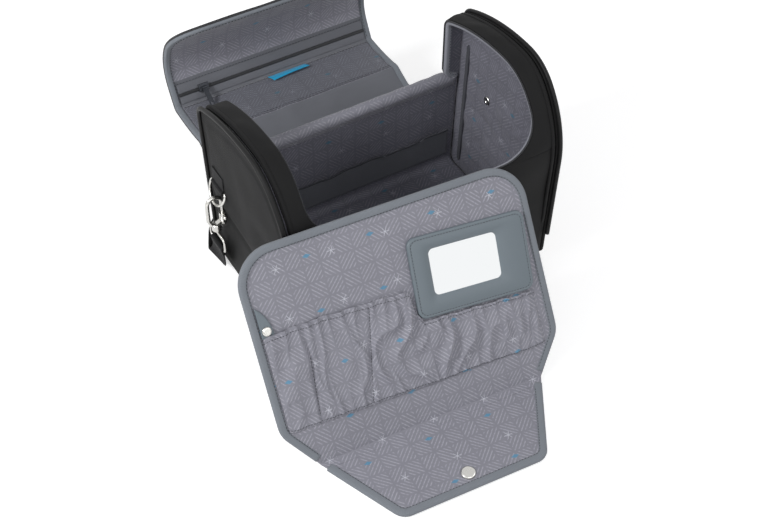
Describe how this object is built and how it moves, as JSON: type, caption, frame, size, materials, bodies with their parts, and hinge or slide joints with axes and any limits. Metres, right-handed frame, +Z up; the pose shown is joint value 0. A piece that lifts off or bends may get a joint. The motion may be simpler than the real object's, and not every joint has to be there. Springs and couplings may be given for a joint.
{
  "type": "toiletry bag",
  "caption": "Soft toiletry bag with a fold-back zip lid, lid pocket, carry handle, clip-on shoulder strap and a padded organizer with mirror and fold-up flap",
  "frame": {"origin": "centre of the base, on the surface that the bag stands on", "axes": "+Z up, +X to the bag's right seen from the front, -Y to the front, in metres"},
  "size_m": [0.4368, 0.6365, 0.2614],
  "materials": {
    "black_fabric": "smooth woven polyester over foam",
    "black_piping": "matte rolled piping",
    "black_webbing": "ribbed webbing",
    "grey_print": "satin lining with a light woven print",
    "grey_binding": "ribbed binding tape",
    "grey_mesh": "fine mesh",
    "grey_vinyl": "smooth stitched vinyl",
    "blue_ribbon": "blank woven ribbon",
    "zip_black": "nylon coil zip",
    "dark_metal": "dark enamel",
    "nickel": "polished nickel",
    "mirror": "silvered glass"
  },
  "bodies": {
    "bag": {"bottom_panel": "black_fabric", "front_panel": "black_fabric", "back_panel": "black_fabric", "bottom_lining": "grey_print", "front_lining": "grey_print", "back_lining": "grey_print", "left_side_panel": "black_fabric", "left_side_lining": "grey_print", "left_piping": "black_piping", "left_rim_strip": "black_fabric", "left_ring_tab": "black_webbing", "left_strap_eye": "nickel", "right_side_panel": "black_fabric", "right_side_lining": "grey_print", "right_piping": "black_piping", "right_rim_strip": "black_fabric", "right_ring_tab": "black_webbing", "right_strap_eye": "nickel", "rim_binding": "grey_binding", "rim_zip": "zip_black", "back_pocket": "grey_print", "seam_bindings": "grey_binding", "side_snaps": "nickel", "shoulder_strap": "black_webbing"},
    "lid_back": {"lid_back_shell": "black_fabric", "lid_back_lining": "grey_print", "lid_back_binding": "grey_binding", "lid_back_zip": "zip_black"},
    "lid_top": {"lid_top_shell": "black_fabric", "lid_top_lining": "grey_print", "lid_top_binding": "grey_binding", "lid_top_zip": "zip_black", "mesh_pocket": "grey_mesh", "label": "blue_ribbon", "lid_handle": "black_webbing", "handle_patches": "black_webbing"},
    "lid_front": {"lid_front_shell": "black_fabric", "lid_front_lining": "grey_print", "lid_front_binding": "grey_binding", "lid_front_zip": "zip_black", "pocket_zip": "zip_black"},
    "pocket_slider": {"pocket_slider": "dark_metal"},
    "slider_pull": {"slider_pull": "dark_metal"},
    "organizer": {"organizer_panel": "grey_print", "organizer_binding": "grey_binding", "organizer_pocket": "grey_print", "mirror_frame": "grey_vinyl", "mirror_glass": "mirror", "snap_tab": "grey_vinyl", "tab_snap": "nickel"},
    "flap": {"flap_panel": "grey_print", "flap_binding": "grey_binding", "flap_snap": "nickel"},
    "left_d_ring": {"left_d_ring": "nickel"},
    "left_hook": {"left_hook": "nickel"},
    "left_hook_bolt": {"left_hook_bolt": "nickel"},
    "right_d_ring": {"right_d_ring": "nickel"},
    "right_hook": {"right_hook": "nickel"},
    "right_hook_bolt": {"right_hook_bolt": "nickel"}
  },
  "joints": [
    {"name": "lid_hinge", "type": "hinge", "parent": "bag", "child": "lid_back", "pos_m": [0, 0.101, 0.138], "axis": [1, 0, 0], "range_deg": [0, 135]},
    {"name": "lid_bend_top", "type": "hinge", "parent": "lid_back", "child": "lid_top", "pos_m": [0, 0.19807, 0.08665], "axis": [1, 0, 0], "range_deg": [0, 34]},
    {"name": "lid_bend_front", "type": "hinge", "parent": "lid_top", "child": "lid_front", "pos_m": [0, 0.26299, 0.09178], "axis": [1, 0, 0], "range_deg": [-51, 0]},
    {"name": "pocket_slide", "type": "slide", "parent": "lid_front", "child": "pocket_slider", "axis": [1, 0, 0], "range_m": [-0.024, 0.22]},
    {"name": "pull_swing", "type": "hinge", "parent": "pocket_slider", "child": "slider_pull", "pos_m": [-0.098, 0.26648, 0.10634], "axis": [-1, 0, 0], "range_deg": [0, 120]},
    {"name": "organizer_lift", "type": "slide", "parent": "bag", "child": "organizer", "axis": [0, 0, 1], "range_m": [0, 0.35]},
    {"name": "flap_fold", "type": "hinge", "parent": "organizer", "child": "flap", "pos_m": [-0.0796, -0.2452, 0.0053], "axis": [-0.9971, 0.0758, 0], "range_deg": [0, 105]},
    {"name": "left_ring_swing", "type": "hinge", "parent": "bag", "child": "left_d_ring", "pos_m": [-0.17375, 0.066, 0.1398], "axis": [0, 1, 0], "range_deg": [-5, 5]},
    {"name": "left_hook_swivel", "type": "hinge", "parent": "bag", "child": "left_hook", "pos_m": [-0.18145, 0.066, 0.07546], "axis": [0, 0, 1], "range_deg": [-40, 40]},
    {"name": "left_bolt_slide", "type": "slide", "parent": "left_hook", "child": "left_hook_bolt", "axis": [0, 0, 1], "range_m": [-0.008, 0], "stiffness_N_per_m": 300, "springref_m": 0.002},
    {"name": "right_ring_swing", "type": "hinge", "parent": "bag", "child": "right_d_ring", "pos_m": [0.17375, 0.066, 0.1398], "axis": [0, -1, 0], "range_deg": [-5, 5]},
    {"name": "right_hook_swivel", "type": "hinge", "parent": "bag", "child": "right_hook", "pos_m": [0.18145, 0.066, 0.07546], "axis": [0, 0, 1], "range_deg": [-40, 40]},
    {"name": "right_bolt_slide", "type": "slide", "parent": "right_hook", "child": "right_hook_bolt", "axis": [0, 0, 1], "range_m": [-0.008, 0], "stiffness_N_per_m": 300, "springref_m": 0.002}
  ],
  "couplings": [
    {"joint": "lid_bend_top", "follows": "lid_hinge", "ratio": 0.25185},
    {"joint": "lid_bend_front", "follows": "lid_hinge", "ratio": -0.37778}
  ]
}
